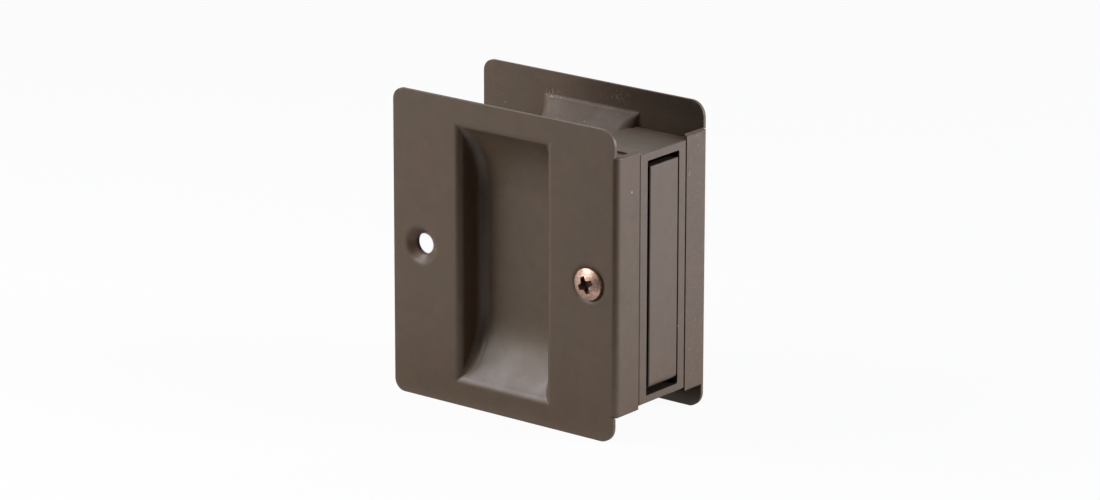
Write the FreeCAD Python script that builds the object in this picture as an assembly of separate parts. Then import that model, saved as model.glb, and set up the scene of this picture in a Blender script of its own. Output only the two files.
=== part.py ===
import FreeCAD, Part
import math
import os
from FreeCAD import Vector

# Pocket door pull, in millimetres. X points to the door's edge, Y through the door, Z up.
# The origin is the middle of the footprint, on the surface that the two plates stand on.

# Door and face plates
door_thickness = 35.0
sheet = 0.9
plate_width = 69.85
plate_height = 79.4
plate_corner_radius = 4.0

# Edge flange that is folded from each plate
flange_height = 65.6
flange_length = 8.9
flange_bend_radius = 0.9
bend_relief = 0.5

# Finger cup drawn into each plate
cup_width = 27.0
cup_length = 66.2
cup_depth = 8.6
cup_scoop_radius = 22.0
cup_foot_radius = 3.4
cup_rim_radius = 2.0

# Dimpled screw holes, level with the middle of the plate
hole_inset = 8.725
hole_radius = 2.6
hole_land = 0.4
dimple_radius = 4.7
dimple_angle = 100.0

# Oval-head plate screws
screw_head_radius = 4.05
screw_head_rim = 1.0
screw_dome_height = 1.25
screw_shank_radius = 2.05
screw_shank_length = 8.4
screw_seat_gap = 0.05
recess_span = 4.6
recess_blade = 1.0
recess_depth = 1.5
recess_turn = 27.0

# Housing between the plates, at the door's edge
housing_width = 25.4
housing_inner_gap = 3.4
housing_edge_round = 0.4
band_height = 64.1
band_step = 0.5
flange_gap = 0.25
boss_radius = 7.0
boss_cone_gap = 0.3
tapped_depth = 2.0
thread_gap = 0.05
core_wall = 2.4
core_depth = 5.0
core_corner_radius = 2.0

# Window in the housing and the pocket behind it
window_width = 12.8
window_height = 60.2
window_corner_radius = 0.5
pocket_floor_gap = 0.35

# Edge pull that swings out of the window
pull_thickness = 2.4
pull_gap_top = 1.7
pull_gap_bottom = 1.2
pull_gap_front = 1.15
pull_gap_rear = 0.25
pull_edge_round = 0.45
pull_heel_round = 1.8
pull_open_angle = 75.0
scoop_depth = 1.0
scoop_radius = 9.0
scoop_from_top = 7.0

# Pivot of the edge pull
pin_radius = 1.2
pin_inset = 3.8
pin_above_heel = 5.0
pin_end_gap = 0.3
pin_running_gap = 0.06
pin_press_gap = 0.01
pin_chamfer = 0.25
lug_width = 2.6
lug_wall = 1.4
stop_gap = 0.3
stop_lug_height = 3.0
stop_lug_width = 1.5
stop_lug_z = 17.0

# Return spring round the pin, of square wire
wire_size = 0.5
coil_gap = 0.35
coil_half_turns = 5
coil_pitch = 0.85
spring_seat_gap = 0.1
fixed_leg_angle = 29.0
moving_leg_length = 3.4

# Closeness that counts as touching when edges are picked
touching = 0.01

# Places that follow from the sizes above. Z is measured from mid-height until the export.
overall_depth = door_thickness + 2 * sheet
plate_left = -(plate_width + sheet) / 2
plate_right = plate_left + plate_width
edge_face = plate_right + sheet
front_face = -overall_depth / 2
front_back = front_face + sheet
bend_outer_radius = flange_bend_radius + sheet
bend_start = edge_face - bend_outer_radius
screw_x = edge_face - hole_inset

dimple_tangent = math.tan(math.radians(dimple_angle / 2))
dimple_cosine = math.cos(math.radians(dimple_angle / 2))
dimple_sine = math.sin(math.radians(dimple_angle / 2))
dimple_depth = (dimple_radius - hole_radius) / dimple_tangent

cup_x = (plate_left + plate_right) / 2
cup_floor_half = cup_length / 2 - math.sqrt(cup_depth * (2 * cup_scoop_radius - cup_depth))
housing_inner = cup_x + cup_width / 2 + sheet + housing_inner_gap
band_width = overall_depth - 2 * flange_length - 2 * flange_gap
core_height = band_height - 2 * band_step

pull_top = window_height / 2 - pull_gap_top
pull_bottom = -window_height / 2 + pull_gap_bottom
pull_front = -window_width / 2 + pull_gap_front
pull_rear = window_width / 2 - pull_gap_rear
pull_back = edge_face - pull_thickness
pin_x = edge_face - pin_inset
pin_z = pull_bottom + pin_above_heel
lug_radius = pin_radius + lug_wall

coil_radius = pin_radius + coil_gap + wire_size / 2
spring_slot_face = pin_x + coil_radius + wire_size / 2 + spring_seat_gap
heel_turn = math.radians(pull_open_angle)
heel_reach = pin_above_heel * math.sin(heel_turn) - (pull_back - pin_x) * math.cos(heel_turn)
pocket_floor = pin_x - heel_reach - pocket_floor_gap


def box(x0, x1, y0, y1, z0, z1):
    return Part.makeBox(x1 - x0, y1 - y0, z1 - z0, Vector(x0, y0, z0))


def cylinder_y(radius, y0, y1, x, z):
    return Part.makeCylinder(radius, y1 - y0, Vector(x, y0, z), Vector(0, 1, 0))


def face_of(edges):
    return Part.Face(Part.Wire(Part.__sortEdges__(edges)))


def polygon(points):
    return Part.Face(Part.makePolygon(points + points[:1]))


def revolved_about_y(profile, x):
    """Turn a closed (radius, y) profile about the Y line through x at mid-height."""
    face = polygon([Vector(x + radius, y, 0) for radius, y in profile])
    return face.revolve(Vector(x, 0, 0), Vector(0, 1, 0), 360)


def edges_where(shape, test):
    return [edge for edge in shape.Edges if test(edge.BoundBox)]


def blank():
    """The flat sheet with its rounded corners."""
    half_height = plate_height / 2
    plate = box(plate_left, plate_right, front_face, front_back, -half_height, half_height)
    return plate.makeFillet(plate_corner_radius, edges_where(plate, lambda b: b.YLength > sheet / 2))


def flange():
    """The bend and the edge flange, as one folded section."""
    y_bend = front_face + bend_outer_radius
    y_end = front_face + flange_length
    half_turn = math.sqrt(0.5)
    z = -flange_height / 2
    corner = Vector(bend_start, y_bend, z)
    diagonal = Vector(half_turn, -half_turn, 0)
    outer_start = Vector(bend_start, front_face, z)
    outer_end = Vector(edge_face, y_bend, z)
    inner_start = Vector(bend_start, front_back, z)
    inner_end = Vector(plate_right, y_bend, z)
    tip_outer = Vector(edge_face, y_end, z)
    tip_inner = Vector(plate_right, y_end, z)
    section = face_of([
        Part.Arc(outer_start, corner + diagonal * bend_outer_radius, outer_end).toShape(),
        Part.makeLine(outer_end, tip_outer),
        Part.makeLine(tip_outer, tip_inner),
        Part.makeLine(tip_inner, inner_end),
        Part.Arc(inner_end, corner + diagonal * flange_bend_radius, inner_start).toShape(),
        Part.makeLine(inner_start, outer_start),
    ])
    return section.extrude(Vector(0, 0, flange_height))


def arc_points(centre, radius, start, end):
    """Three points along an arc in the XY plane, by its angles in degrees."""
    angles = [math.radians(start + share * (end - start)) for share in (0.0, 0.5, 1.0)]
    return [centre + Vector(math.cos(angle), math.sin(angle), 0) * radius for angle in angles]


def cup_prism(roll, bend, top, length):
    """The outline down a rim roll and round a lower bend to the floor, with its mirror image, extruded."""
    half = [
        Part.makeLine(Vector(roll[0].x, top, 0), roll[0]),
        Part.Arc(*roll).toShape(),
        Part.Arc(*bend).toShape(),
        Part.makeLine(bend[2], Vector(0, bend[2].y, 0)),
    ]
    if roll[2].distanceToPoint(bend[0]) > touching:
        half.append(Part.makeLine(roll[2], bend[0]))
    other = [edge.mirror(Vector(0, 0, 0), Vector(1, 0, 0)) for edge in half]
    lid = Part.makeLine(Vector(-roll[0].x, top, 0), Vector(roll[0].x, top, 0))
    outline = face_of(half + other + [lid])
    outline.translate(Vector(0, 0, -length / 2))
    return outline.extrude(Vector(0, 0, length))


def cup_form(grow):
    """The hollow of the cup, or with grow = sheet the outside of the drawn wall."""
    top = front_face - sheet + grow
    roll_radius = cup_rim_radius - grow
    roll_y = front_face + cup_rim_radius
    foot_middle = Vector(cup_width / 2 - cup_foot_radius, front_face + cup_depth - cup_foot_radius, 0)
    across = cup_prism(
        arc_points(Vector(cup_width / 2 + cup_rim_radius, roll_y, 0), roll_radius, 270, 180),
        arc_points(foot_middle, cup_foot_radius + grow, 0, 90),
        top,
        plate_height,
    )
    reach = cup_scoop_radius + cup_rim_radius
    scoop_end = math.degrees(math.asin((reach - cup_depth) / reach))
    scoop_middle = Vector(cup_floor_half, front_face + cup_depth - cup_scoop_radius, 0)
    rim_middle = scoop_middle + Vector(math.sqrt(reach**2 - (reach - cup_depth)**2), reach - cup_depth, 0)
    along = cup_prism(
        arc_points(rim_middle, roll_radius, 270, 180 + scoop_end),
        arc_points(scoop_middle, cup_scoop_radius + grow, scoop_end, 90),
        top,
        plate_width,
    )
    along.rotate(Vector(0, 0, 0), Vector(0, 1, 0), 90)
    form = across.common(along)
    form.translate(Vector(cup_x, 0, 0))
    return form


def dimple_form(x):
    """The pressed cone round a screw hole: what it adds to the sheet and what it takes away."""
    land_end = dimple_depth + hole_land
    pressed = revolved_about_y([
        (0, front_face),
        (dimple_radius + sheet / dimple_cosine, front_face),
        (hole_radius + sheet * dimple_cosine, front_face + dimple_depth + sheet * dimple_sine),
        (hole_radius, front_face + land_end),
        (0, front_face + land_end),
    ], x)
    opened = revolved_about_y([
        (0, front_face - sheet),
        (dimple_radius + sheet * dimple_tangent, front_face - sheet),
        (hole_radius, front_face + dimple_depth),
        (hole_radius, front_face + land_end + sheet),
        (0, front_face + land_end + sheet),
    ], x)
    return pressed, opened


def face_plate():
    fold_half = flange_height / 2 + bend_relief
    plate = blank().cut(box(bend_start, edge_face, front_face, front_back, -fold_half, fold_half))
    plate = plate.fuse([flange(), cup_form(sheet)]).cut(cup_form(0))
    for x in (-screw_x, screw_x):
        pressed, opened = dimple_form(x)
        plate = plate.fuse(pressed).cut(opened)
    return plate.removeSplitter()


def turned_over(shape):
    """The same piece on the other side of the door."""
    turned = shape.copy()
    turned.rotate(Vector(0, 0, 0), Vector(1, 0, 0), 180)
    return turned


def housing_side_boss():
    """The round boss that a plate seats on, hollowed to take the back of the dimple."""
    boss = cylinder_y(boss_radius, front_back, -housing_width / 2, screw_x, 0)
    cone_gap = boss_cone_gap / dimple_cosine
    mouth = dimple_radius + sheet / dimple_cosine - sheet * dimple_tangent + cone_gap
    depth = dimple_depth + sheet * dimple_sine - sheet + boss_cone_gap
    bottom = mouth - depth * dimple_tangent
    return boss, revolved_about_y([
        (0, front_back),
        (mouth, front_back),
        (bottom, front_back + depth),
        (0, front_back + depth),
    ], screw_x)


def tapped_hole():
    tip = front_face + (dimple_radius - screw_head_radius) / dimple_tangent + screw_shank_length
    return cylinder_y(screw_shank_radius + thread_gap, front_back, tip + tapped_depth, screw_x, 0)


def edge_housing():
    half_width = housing_width / 2
    body = box(housing_inner, plate_right, -half_width, half_width, -core_height / 2, core_height / 2)
    body = body.makeFillet(housing_edge_round, edges_where(body, lambda b: b.XMin > plate_right - touching))
    band = box(housing_inner, edge_face, -band_width / 2, band_width / 2, -band_height / 2, band_height / 2)
    band = band.makeFillet(housing_edge_round, edges_where(band, lambda b: b.XMin > edge_face - touching))
    body = body.fuse(band)
    window_half = window_height / 2
    pocket = box(pocket_floor, edge_face, -window_width / 2, window_width / 2, -window_half, window_half)
    pocket_corners = edges_where(pocket, lambda b: b.XLength > pull_thickness)
    body = body.cut(pocket.makeFillet(window_corner_radius, pocket_corners))
    core_side = half_width - core_wall
    core_top = core_height / 2 - core_wall
    core = box(housing_inner, housing_inner + core_depth, -core_side, core_side, -core_top, core_top)
    core_corners = edges_where(core, lambda b: b.XLength > core_depth / 2)
    body = body.cut(core.makeFillet(core_corner_radius, core_corners))
    boss, cone = housing_side_boss()
    for turn in (lambda shape: shape, turned_over):
        body = body.fuse(turn(boss)).cut([turn(cone), turn(tapped_hole())])
    for side in (-1, 1):
        wall = side * window_width / 2
        lug_sides = sorted((wall, wall - side * stop_lug_width))
        lug_top = stop_lug_z + stop_lug_height
        body = body.fuse(box(pocket_floor, pull_back - stop_gap, *lug_sides, stop_lug_z, lug_top))
    body = body.cut(cylinder_y(pin_radius + pin_press_gap, -half_width, half_width, pin_x, pin_z))
    return body.removeSplitter()


def edge_pull():
    pull = box(pull_back, edge_face, pull_front, pull_rear, pull_bottom, pull_top)
    heel = edges_where(pull, lambda b: b.XMin > edge_face - touching and b.ZMax < pull_bottom + touching)
    pull = pull.makeFillet(pull_heel_round, heel)
    heel_top = pull_bottom + pull_heel_round + touching
    rim = edges_where(pull, lambda b: b.XMin > edge_face - touching and b.ZMax > heel_top)
    pull = pull.makeFillet(pull_edge_round, rim)
    hollow_x = pull_back + scoop_depth - scoop_radius
    pull = pull.cut(cylinder_y(scoop_radius, pull_front, pull_rear, hollow_x, pull_top - scoop_from_top))
    for y0 in (pull_front, pull_rear - lug_width):
        y1 = y0 + lug_width
        lug = cylinder_y(lug_radius, y0, y1, pin_x, pin_z)
        web = box(pin_x, pull_back, y0, y1, pin_z - lug_radius, pin_z + lug_radius)
        pull = pull.fuse([lug, web])
    slot_sides = (pull_front + lug_width, pull_rear - lug_width)
    slot = box(pull_back, spring_slot_face, *slot_sides, pull_bottom, pin_z + lug_radius)
    bore = cylinder_y(pin_radius + pin_running_gap, pull_front, pull_rear, pin_x, pin_z)
    return pull.cut([slot, bore]).removeSplitter()


def pivot_pin():
    half_length = housing_width / 2 - pin_end_gap
    pin = cylinder_y(pin_radius, -half_length, half_length, pin_x, pin_z)
    return pin.makeChamfer(pin_chamfer, edges_where(pin, lambda b: b.YLength < touching))


def return_spring():
    """A coil of square wire on the pin, with one leg on the pull's heel and one on the pocket floor."""
    half_pitch = coil_pitch / 2
    half_wire = wire_size / 2
    coil_front = (pull_front + pull_rear - coil_half_turns * half_pitch) / 2
    pieces = []
    for index in range(coil_half_turns):
        side = 1 if index % 2 == 0 else -1
        centre = Vector(pin_x, coil_front + (index + 0.5) * half_pitch, pin_z)
        spoke = Vector(side * coil_radius, -half_pitch / 2, 0)
        way = Vector(0, 0, side)
        axis = spoke.cross(way)
        out = Vector(spoke).normalize() * half_wire
        beside = Vector(axis).normalize() * half_wire
        corners = (out + beside, beside - out, -out - beside, out - beside)
        section = polygon([centre + spoke + corner for corner in corners])
        turn = 180 if index < coil_half_turns - 1 else 180 - fixed_leg_angle
        pieces.append(section.revolve(centre, axis, turn))
        if index == 0:
            pieces.append(section.extrude(way * -moving_leg_length))
    spread = math.radians(fixed_leg_angle)
    reach = pin_x - coil_radius * math.cos(spread) - pocket_floor - half_wire - spring_seat_gap
    section.rotate(centre, axis, turn)
    leg_way = FreeCAD.Rotation(axis, turn).multVec(way)
    pieces.append(section.extrude(leg_way * (reach / math.sin(spread))))
    return pieces[0].fuse(pieces[1:]).removeSplitter()


def plate_screw():
    """An oval-head screw with a cross recess, seated in the front plate."""
    seat = (dimple_radius - screw_head_radius) / dimple_tangent - screw_seat_gap
    rim_y = front_face + seat
    neck_y = rim_y + (screw_head_radius - screw_shank_radius) / dimple_tangent
    tip_y = rim_y + screw_shank_length
    shank = revolved_about_y([
        (0, rim_y - screw_head_rim),
        (screw_head_radius, rim_y - screw_head_rim),
        (screw_head_radius, rim_y),
        (screw_shank_radius, neck_y),
        (screw_shank_radius, tip_y - screw_shank_radius / 2),
        (screw_shank_radius / 2, tip_y),
        (0, tip_y),
    ], screw_x)
    dome_base = rim_y - screw_head_rim
    dome_radius = (screw_head_radius**2 + screw_dome_height**2) / (2 * screw_dome_height)
    ball = Part.makeSphere(dome_radius, Vector(screw_x, dome_base - screw_dome_height + dome_radius, 0))
    dome = ball.common(cylinder_y(screw_head_radius, dome_base - screw_dome_height, dome_base, screw_x, 0))
    screw = shank.fuse(dome).removeSplitter()
    recess_y = dome_base - screw_dome_height
    for turn in (recess_turn, recess_turn + 90):
        half_span = recess_span / 2
        blade = polygon([
            Vector(-half_span, 0, -recess_blade / 2),
            Vector(half_span, 0, -recess_blade / 2),
            Vector(recess_blade / 2, recess_depth, -recess_blade / 2),
            Vector(-recess_blade / 2, recess_depth, -recess_blade / 2),
        ]).extrude(Vector(0, 0, recess_blade))
        blade.rotate(Vector(0, 0, 0), Vector(0, 1, 0), -turn)
        blade.translate(Vector(screw_x, recess_y, 0))
        screw = screw.cut(blade)
    return screw


def save(name, shape):
    shape.translate(Vector(0, 0, plate_height / 2))
    shape.exportStep("parts/" + name + ".step")
    state = "valid" if shape.isValid() else "invalid"
    print(name, shape.ShapeType, len(shape.Solids), state, round(shape.Volume, 2))


os.makedirs("parts", exist_ok=True)
front_plate = face_plate()
front_screw = plate_screw()
save("rear_plate", turned_over(front_plate))
save("front_plate", front_plate)
save("edge_housing", edge_housing())
save("edge_pull", edge_pull())
save("pivot_pin", pivot_pin())
save("return_spring", return_spring())
save("plate_screws", Part.makeCompound([front_screw, turned_over(front_screw)]))
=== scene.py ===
# %% [markdown]
# A pocket door pull: two pressed plates that clamp a sliding door, a cast housing between them at the
# door's edge, and a flush edge pull that swings out of it. All of it could be modelled here by eye, but
# the solids come from CAD with the right sizes, so they are the frame of this lesson. What is left for
# Blender is their finish, their small soft forms and the light of a studio picture.

# %% Load the CAD frame
import math

import bmesh
import bpy
from mathutils import Matrix, Vector


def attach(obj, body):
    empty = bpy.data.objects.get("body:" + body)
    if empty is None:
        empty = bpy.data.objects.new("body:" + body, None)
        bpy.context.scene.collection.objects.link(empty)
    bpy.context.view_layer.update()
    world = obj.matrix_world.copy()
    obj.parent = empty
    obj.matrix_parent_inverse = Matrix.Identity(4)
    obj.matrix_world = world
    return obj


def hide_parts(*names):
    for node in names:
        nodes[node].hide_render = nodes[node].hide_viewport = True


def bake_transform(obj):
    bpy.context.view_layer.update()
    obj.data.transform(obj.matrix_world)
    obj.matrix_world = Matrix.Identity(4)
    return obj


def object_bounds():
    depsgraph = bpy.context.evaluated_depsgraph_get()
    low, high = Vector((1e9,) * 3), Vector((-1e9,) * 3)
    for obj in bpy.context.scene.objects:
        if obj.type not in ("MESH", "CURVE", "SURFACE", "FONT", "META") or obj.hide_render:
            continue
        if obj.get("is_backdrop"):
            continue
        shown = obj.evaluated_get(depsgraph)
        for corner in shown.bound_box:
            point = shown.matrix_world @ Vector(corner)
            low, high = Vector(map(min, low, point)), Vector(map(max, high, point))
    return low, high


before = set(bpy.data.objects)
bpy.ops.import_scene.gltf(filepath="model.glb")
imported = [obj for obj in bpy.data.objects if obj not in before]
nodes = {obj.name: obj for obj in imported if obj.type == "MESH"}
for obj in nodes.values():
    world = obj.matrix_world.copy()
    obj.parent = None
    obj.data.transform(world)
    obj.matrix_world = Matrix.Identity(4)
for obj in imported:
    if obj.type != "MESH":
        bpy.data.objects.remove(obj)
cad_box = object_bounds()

middle = (cad_box[0] + cad_box[1]) / 2
print("loaded", sorted(nodes), "box", [round(x, 4) for x in (*cad_box[0], *cad_box[1])])

# %% [markdown]
# The picture was taken with a long lens from the right, a little above. A camera can be turned by eye
# until the edges lie over each other, but here the plates' corners and the housing's edges were measured
# in the picture and the view was solved from them, so the numbers below are angles and a distance.

# %% Camera
photo_size = (1100, 500)
view_azimuth = math.radians(38.353)
view_elevation = math.radians(16.702)
view_roll = math.radians(0.078)
view_distance = 1.251005
focal_pixels = 5002.89
middle_pixel = (549.869, 247.584)
sensor_width = 36.0
nearest_seen, farthest_seen = 0.05, 50


def way_to(azimuth, elevation):
    """The direction from the object to a place that is given by two angles in radians."""
    flat = math.cos(elevation)
    return Vector((math.sin(azimuth) * flat, -math.cos(azimuth) * flat, math.sin(elevation)))


def add_to_scene(name, data):
    """A new object that carries this data, linked into the scene."""
    thing = bpy.data.objects.new(name, data)
    bpy.context.scene.collection.objects.link(thing)
    return thing


back = way_to(view_azimuth, view_elevation)
level_right = Vector((math.cos(view_azimuth), math.sin(view_azimuth), 0))
level_up = back.cross(level_right)
right = level_right * math.cos(view_roll) + level_up * math.sin(view_roll)
up = level_up * math.cos(view_roll) - level_right * math.sin(view_roll)
per_pixel = view_distance / focal_pixels
across = (middle_pixel[0] - photo_size[0] / 2) * per_pixel
down = (middle_pixel[1] - photo_size[1] / 2) * per_pixel

camera_data = bpy.data.cameras.new("camera")
camera_data.sensor_width = sensor_width
camera_data.lens = focal_pixels * sensor_width / photo_size[0]
camera_data.clip_start = nearest_seen
camera_data.clip_end = farthest_seen
camera = add_to_scene("camera", camera_data)
turn = Matrix((right, up, back)).transposed().to_4x4()
turn.translation = middle - right * across + up * down + back * view_distance
camera.matrix_world = turn
bpy.context.scene.camera = camera
print("camera lens", round(camera_data.lens, 2), "at", [round(x, 3) for x in turn.translation])

# %% [markdown]
# A finish is a small graph of nodes. It can be drawn by hand in the Shader editor, but two helpers make
# the same graph easy to read and to repeat: one adds a node, sets its inputs and links what is given as a
# socket, and the other starts a new material with a Principled shader.

# %% Node helpers


def node_adder(tree):
    """A function that adds a node to this tree, sets its inputs and links the sockets it is given."""

    def add(kind, inputs=None, **settings):
        node = tree.nodes.new("ShaderNode" + kind)
        for key, value in settings.items():
            setattr(node, key, value)
        for key, value in (inputs or {}).items():
            if isinstance(value, bpy.types.NodeSocket):
                tree.links.new(value, node.inputs[key])
            else:
                node.inputs[key].default_value = value
        return node

    return add


def new_finish(name):
    """An empty material with a Principled shader, and a helper that adds nodes to it."""
    material = bpy.data.materials.new(name)
    material.use_nodes = True
    tree = material.node_tree
    tree.nodes.clear()
    shader = tree.nodes.new("ShaderNodeBsdfPrincipled")
    output = tree.nodes.new("ShaderNodeOutputMaterial")
    tree.links.new(shader.outputs["BSDF"], output.inputs["Surface"])
    return material, shader, tree.links, node_adder(tree)


print("node helpers:", node_adder.__name__, "and", new_finish.__name__)

# %% [markdown]
# Real finishes are never quite even. An image could carry the unevenness, but it would need unwrapping and
# would blur close up, so noise in the object's own coordinates does it. These helpers measure in
# millimetres, as a maker does, so that a lump of 16 is 16 mm on the part.

# %% Pattern helpers
mm = 0.001


def in_millimetres(add):
    """The object's own coordinates, scaled so that one unit is a millimetre."""
    place = add("TexCoord").outputs["Object"]
    return add("VectorMath", {0: place, "Scale": 1 / mm}, operation="SCALE").outputs[0]


def noise(add, place, size, detail=2.0, rough=0.5):
    """Noise whose lumps are about size millimetres across."""
    inputs = {"Vector": place, "Scale": 1.0 / size, "Detail": detail, "Roughness": rough}
    return add("TexNoise", inputs).outputs["Fac"]


def spread(add, value, low, high, from_low=0.3, from_high=0.7):
    """Map the range between the two from values onto the range from low to high."""
    inputs = {"Value": value, "From Min": from_low, "From Max": from_high, "To Min": low, "To Max": high}
    return add("MapRange", inputs).outputs["Result"]


colour_a, colour_b, colour_out = 6, 7, 2  # a Mix node's colour sockets


def mix(add, factor, first, second):
    """The first colour where the factor is 0 and the second where it is 1."""
    inputs = {"Factor": factor, colour_a: first, colour_b: second}
    return add("Mix", inputs, data_type="RGBA").outputs[colour_out]


def scaled(add, colour, factor):
    """A colour made lighter or darker by a factor."""
    return add("VectorMath", {0: colour, "Scale": factor}, operation="SCALE").outputs[0]


print("patterns for a part of", [round(x / mm, 1) for x in cad_box[1] - cad_box[0]], "mm")

# %% [markdown]
# Paint on such hardware has small marks: specks of dust that dried in it and patches rubbed through to the
# metal. The narrow pocket of the pull gets painted shade, a darker tone where shade falls inside it.
# These marks could be painted on an image, but masks of noise and distance need no unwrapping and stay
# sharp close up, so each mark is a mask that is 1 where the mark lies and 0 elsewhere.

# %% Masks for dust, rubs and the pocket's painted shade
nib_spacing, nib_radius, nib_rarity = 12.0, 0.28, 0.72
grit_size = 0.7
rub_boost, rub_core = 0.16, 0.2
bare_from, bare_to = 0.68, 0.76
box_fade = 0.985


def nibs(add, place):
    """Dots of dust under the paint, a few of them and far apart."""
    cells = add("TexVoronoi", {"Vector": place, "Scale": 1.0 / nib_spacing})
    radius = nib_radius / nib_spacing
    near = spread(add, cells.outputs["Distance"], 1.0, 0.0, 0.5 * radius, 1.3 * radius)
    lot = add("SeparateColor", {0: cells.outputs["Color"]}).outputs[0]
    chosen = add("Math", {0: lot, 1: nib_rarity}, operation="GREATER_THAN").outputs[0]
    return add("Math", {0: near, 1: chosen}, operation="MULTIPLY").outputs[0]


def away_from(add, place, centre, size):
    """How far points lie from a centre along each axis, in shares of the size."""
    away = add("VectorMath", {0: place, 1: centre}, operation="SUBTRACT").outputs[0]
    return add("VectorMath", {0: away, 1: size}, operation="DIVIDE").outputs[0]


def rubbed_patch(add, place, centre, size):
    """Speckles of bare metal inside an oval patch, where something has rubbed the paint."""
    away = away_from(add, place, centre, size)
    reach = add("VectorMath", {0: away}, operation="LENGTH").outputs["Value"]
    edge = spread(add, reach, rub_boost, 0.0, rub_core, 1.0)
    grit = noise(add, place, grit_size, 2.0, 0.7)
    grit = add("Math", {0: grit, 1: edge}, operation="ADD").outputs[0]
    return spread(add, grit, 0.0, 1.0, bare_from, bare_to)


def inside_box(add, place, centre, half):
    """1 inside a box and 0 outside it, with a short fade at its sides."""
    away = away_from(add, place, centre, half)
    away = add("VectorMath", {0: away}, operation="ABSOLUTE").outputs[0]
    x, y, z = add("SeparateXYZ", {0: away}).outputs
    reach = add("Math", {0: x, 1: y}, operation="MAXIMUM").outputs[0]
    reach = add("Math", {0: reach, 1: z}, operation="MAXIMUM").outputs[0]
    return spread(add, reach, 1.0, 0.0, box_fade, 1.0)


print("masks: dust in cells of", nib_spacing, "mm, grit of", grit_size, "mm")

# %% [markdown]
# The plates, housing and pull share a dark bronze paint, satin and a little uneven. One plain colour would
# look like plastic, so two tones are mottled together and the gloss varies too. Paint over pressed sheet
# is smoother than paint over a casting, so one function makes both and takes the grain as a value.

# %% Dark bronze paint
nib_tone = (0.38, 0.32, 0.26, 1)
rub_tone = (0.26, 0.20, 0.15, 1)
# painted shade: a near-black tone for the inside of the pull's pocket, where shade falls
pocket_shade_tone = (0.018, 0.011, 0.007, 1)
mottle_size, cloud_size, gloss_size, scuff_size = 16.0, 3.5, 6.0, 0.5
peel_strength, peel_height, nib_height = 0.08, 0.0002, 1.5


def bronze_paint(name, tone, red_tone, grain, roughness, rubs=(), pocket=None):
    """Satin paint in two tones with dust in it, and rubbed patches and painted shade in the pocket where
    given.
    """
    material, shader, links, add = new_finish(name)
    place = in_millimetres(add)
    mottle = spread(add, noise(add, place, mottle_size, 4.0, 0.6), 0.0, 1.0, 0.35, 0.68)
    cloud = spread(add, noise(add, place, cloud_size, 4.0, 0.65), 0.9, 1.08)
    colour = scaled(add, mix(add, mottle, (*tone, 1), (*red_tone, 1)), cloud)
    dust = nibs(add, place)
    colour = mix(add, dust, colour, nib_tone)
    for rub in rubs:
        colour = mix(add, rubbed_patch(add, place, *rub), colour, rub_tone)
    if rubs:
        scuff = spread(add, noise(add, place, scuff_size, 3.0, 0.7), 0.80, 1.16)
        colour = scaled(add, colour, scuff)
    # painted shade: the colour turns near-black inside the pocket's box
    if pocket:
        colour = mix(add, inside_box(add, place, *pocket), colour, pocket_shade_tone)
    links.new(colour, shader.inputs["Base Color"])
    shine = spread(add, noise(add, place, gloss_size, 5.0, 0.6), roughness - 0.05, roughness + 0.06)
    links.new(shine, shader.inputs["Roughness"])
    peel = noise(add, place, grain, 3.0, 0.6)
    height = add("Math", {0: dust, 1: nib_height, 2: peel}, operation="MULTIPLY_ADD").outputs[0]
    bump = add("Bump", {"Height": height, "Strength": peel_strength, "Distance": peel_height})
    links.new(bump.outputs["Normal"], shader.inputs["Normal"])
    print("finish", name, "roughness", roughness)
    return material


sheet_tones = (0.087, 0.0565, 0.0300), (0.095, 0.0550, 0.0305)
sheet_grain = 0.5
rear_rubs = [((8.0, 17.5, 76.6), (7.5, 3.0, 2.6)), ((-12.5, 17.5, 73.5), (4.5, 3.0, 3.0))]
sheet_paint = bronze_paint("sheet_paint", *sheet_tones, sheet_grain, roughness=0.42)
rubbed_sheet_paint = bronze_paint(
    "rubbed_sheet_paint", *sheet_tones, sheet_grain, roughness=0.57, rubs=rear_rubs)
cast_tones = (0.094, 0.0625, 0.0370), (0.099, 0.0615, 0.0370)
cast_grain = 0.35
# the box round the pull's pocket that gets the painted shade
pull_pocket_shade_box = (25.15, 0.45, 39.5), (10.0, 7.4, 30.4)
cast_paint = bronze_paint("cast_paint", *cast_tones, cast_grain, roughness=0.45, pocket=pull_pocket_shade_box)

# %% [markdown]
# The screws are plated with copper that has been buffed on the high places and left dark in the low ones.
# The pin and the spring are plain steel. A metal with one colour and one roughness looks like chrome, so
# stains and uneven gloss come from noise about as large as the marks on a small screw.

# %% Copper plate and plain steel


def metal(name, tone, dark_tone, roughness, lump, bare=1.0):
    """Metal with darker stains about lump millimetres across; bare sets how metallic it is all over."""
    material, shader, links, add = new_finish(name)
    place = in_millimetres(add)
    stain = spread(add, noise(add, place, lump, 4.0, 0.6), 0.0, 1.0, 0.4, 0.75)
    links.new(mix(add, stain, (*tone, 1), (*dark_tone, 1)), shader.inputs["Base Color"])
    shader.inputs["Metallic"].default_value = bare
    shine = spread(add, noise(add, place, lump / 2, 3.0), roughness - 0.05, roughness + 0.08)
    links.new(shine, shader.inputs["Roughness"])
    print("finish", name, "roughness", roughness)
    return material


copper_tones = (0.57, 0.39, 0.31), (0.27, 0.14, 0.09)
steel_tones = (0.50, 0.49, 0.47), (0.40, 0.39, 0.37)
tarnish_tones = (0.055, 0.018, 0.007), (0.03, 0.011, 0.005)
copper_plate = metal("copper_plate", *copper_tones, roughness=0.42, lump=0.7, bare=0.85)
plain_steel = metal("plain_steel", *steel_tones, roughness=0.34, lump=0.8)
recess_tarnish = metal("recess_tarnish", *tarnish_tones, roughness=0.62, lump=0.5, bare=0.3)

finishes = {"edge_housing": cast_paint, "edge_pull": cast_paint, "pivot_pin": plain_steel}
for node_name, finish in finishes.items():
    nodes[node_name].material_slots[0].material = finish
    print(node_name, "has", finish.name)

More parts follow.
